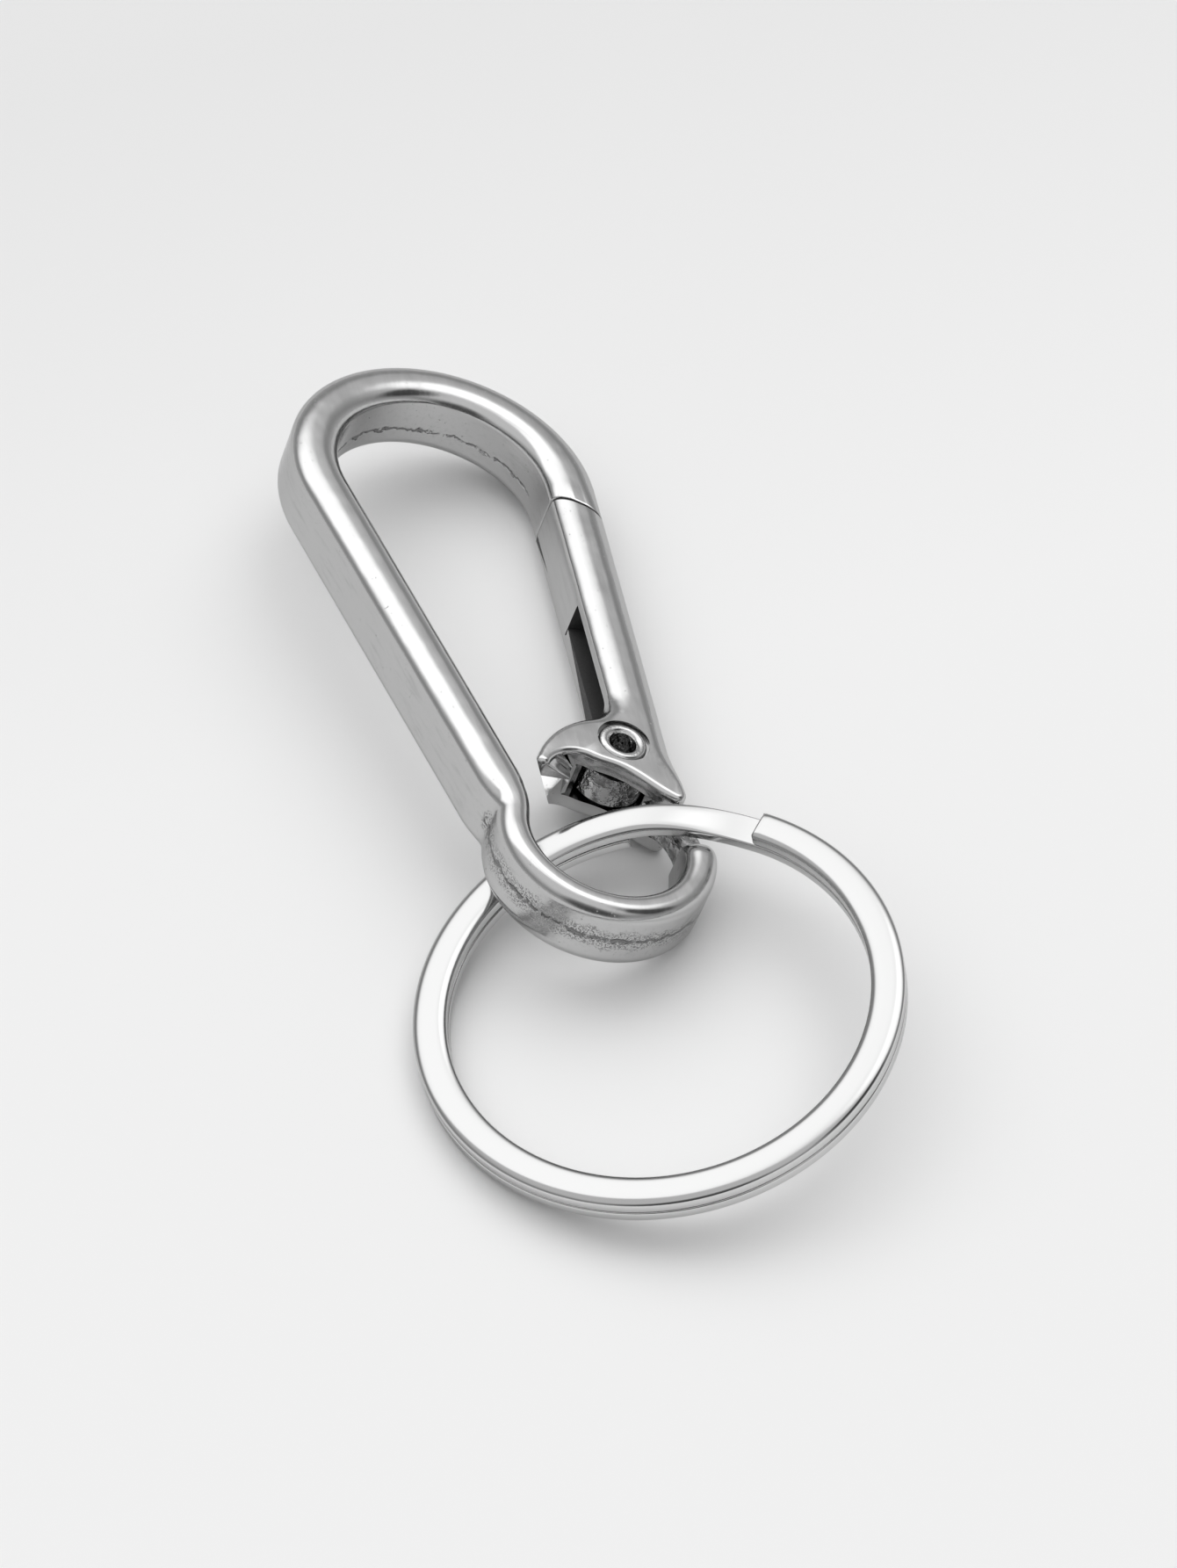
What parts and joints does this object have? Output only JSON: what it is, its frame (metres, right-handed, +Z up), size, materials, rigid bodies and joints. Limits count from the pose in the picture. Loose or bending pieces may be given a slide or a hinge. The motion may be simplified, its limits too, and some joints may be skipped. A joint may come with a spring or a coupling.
{
  "type": "key clip",
  "caption": "Plated metal snap hook with a sprung inward-opening gate on a rivet hinge, and a flat-wire split key ring hanging in its eye.",
  "frame": {"origin": "on the table, under the middle of the whole as it lies", "axes": "+Z up from the table, +Y along the clip from the key ring to the bend of the hook"},
  "size_m": [0.0298, 0.0702, 0.0108],
  "materials": {
    "plated_casting": "polished nickel plating on a zinc casting, slightly pitted and worn",
    "rivet_metal": "plated tubular rivet with a rolled rim",
    "spring_steel": "dull dark spring steel",
    "ring_plating": "polished nickel plating on flat steel wire"
  },
  "bodies": {
    "clip": {"clip_body": "plated_casting"},
    "gate_lever": {"gate": "plated_casting", "hinge_rivet": "rivet_metal", "gate_spring": "spring_steel"},
    "key_ring": {"split_ring": "ring_plating"}
  },
  "joints": [
    {"name": "gate_hinge", "type": "hinge", "parent": "clip", "child": "gate_lever", "pos_m": [0.00375, -0.0009, 0.00347], "axis": [0.3174, -0.032, 0.9478], "range_deg": [0, 20], "stiffness_Nm_per_rad": 0.02, "springref_deg": -17.19, "deforming": ["gate_spring"]},
    {"name": "ring_swing", "type": "hinge", "parent": "clip", "child": "key_ring", "pos_m": [0.00001, -0.0074, 0.00408], "axis": [-0.9746, -0.0492, -0.2185], "range_deg": [0, 95]}
  ]
}
